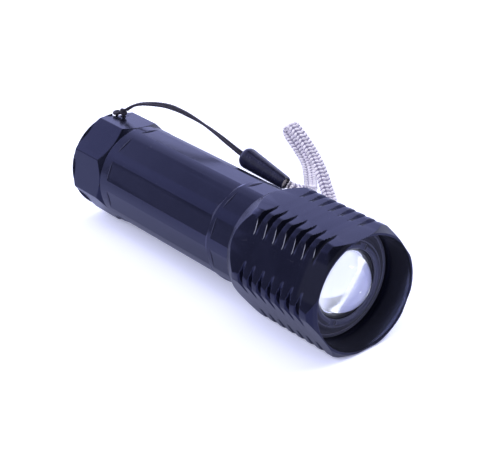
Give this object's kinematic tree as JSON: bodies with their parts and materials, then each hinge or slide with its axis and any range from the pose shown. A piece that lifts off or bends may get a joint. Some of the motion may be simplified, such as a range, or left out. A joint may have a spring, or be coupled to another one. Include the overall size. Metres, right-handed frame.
{
  "type": "flashlight",
  "caption": "Pocket flashlight with a sliding hexagonal zoom head, convex lens, screw-on tail cap with push switch, and a wrist lanyard.",
  "frame": {"origin": "centre of the tail cap's flat rear face, on the barrel axis", "axes": "+X along the barrel from the tail to the lens, +Z out of the uppermost flat of the hexagonal head"},
  "size_m": [0.104, 0.0693, 0.033],
  "materials": {
    "black_anodised": "satin black anodised aluminium",
    "ring_anodised": "turned black anodised aluminium",
    "seal_rubber": "smooth nitrile rubber",
    "boot_rubber": "moulded silicone rubber",
    "white_plastic": "moulded nylon",
    "black_plastic": "moulded plastic",
    "spring_steel": "plated spring wire",
    "circuit_board": "solder mask over glass-fibre board",
    "bare_aluminium": "turned aluminium",
    "led_board_white": "white solder mask on a metal-core board",
    "led_yellow": "phosphor under a clear dome",
    "screw_steel": "plated steel",
    "wire_red": "insulated wire",
    "wire_black": "insulated wire",
    "cell_jacket": "plain printed film jacket",
    "contact_plate": "nickel-plated sheet",
    "lens_glass": "clear moulded lens",
    "cord_black": "braided polyester cord",
    "sleeve_plastic": "moulded plastic sleeve",
    "strap_knit": "silver-grey chevron knit"
  },
  "bodies": {
    "barrel": {"battery_tube": "black_anodised", "neck": "black_anodised", "led_pill": "bare_aluminium", "driver_board": "circuit_board", "driver_spring": "spring_steel", "led_board": "led_board_white", "led_emitter": "led_yellow", "led_board_screws": "screw_steel", "lead_wire_red": "wire_red", "lead_wire_black": "wire_black", "battery_carrier": "black_plastic", "aaa_cells": "cell_jacket", "carrier_springs": "spring_steel", "carrier_contacts": "contact_plate"},
    "zoom_seal": {"zoom_oring": "seal_rubber"},
    "head": {"zoom_head": "black_anodised", "lens_seat_ring": "black_plastic", "lens": "lens_glass", "lens_gasket": "seal_rubber", "lens_retaining_ring": "ring_anodised"},
    "tail_seal": {"tail_cap_oring": "seal_rubber"},
    "tail": {"tail_cap": "black_anodised", "switch_spacer": "black_plastic", "switch_housing": "black_plastic", "switch_board": "circuit_board", "switch_retaining_ring": "bare_aluminium", "switch_spring": "spring_steel", "tail_spring": "spring_steel", "lanyard_eye_loop": "cord_black"},
    "button": {"switch_boot": "boot_rubber", "switch_plunger": "white_plastic"},
    "lanyard": {"lanyard_cord": "cord_black", "cord_connector": "sleeve_plastic", "strap_crimp": "contact_plate"},
    "strap": {"wrist_strap": "strap_knit"}
  },
  "joints": [
    {"name": "head_turn", "type": "hinge", "parent": "barrel", "child": "zoom_seal", "pos_m": [0.0752, 0, 0], "axis": [1, 0, 0], "continuous": true},
    {"name": "head_zoom", "type": "slide", "parent": "zoom_seal", "child": "head", "axis": [1, 0, 0], "range_m": [-0.0076, 0]},
    {"name": "tail_cap_travel", "type": "slide", "parent": "barrel", "child": "tail_seal", "axis": [-1, 0, 0], "range_m": [0, 0.0051]},
    {"name": "tail_cap_turn", "type": "hinge", "parent": "tail_seal", "child": "tail", "pos_m": [0.0133, 0, 0], "axis": [-1, 0, 0], "range_deg": [0, 1800]},
    {"name": "switch_press", "type": "slide", "parent": "tail", "child": "button", "axis": [1, 0, 0], "range_m": [0, 0.0015], "stiffness_N_per_m": 1200, "springref_m": -0.001, "deforming": ["switch_spring"]},
    {"name": "lanyard_swing", "type": "hinge", "parent": "tail", "child": "lanyard", "pos_m": [0.003, 0.00331, 0.01419], "axis": [0, -1, 0], "range_deg": [0, 115]},
    {"name": "strap_swing", "type": "hinge", "parent": "lanyard", "child": "strap", "pos_m": [0.0597, 0.0142, 0.0078], "axis": [1, 0, 0], "range_deg": [0, 50]}
  ],
  "couplings": [
    {"joint": "tail_cap_travel", "follows": "tail_cap_turn", "m_per_rad": 0.00015915}
  ]
}
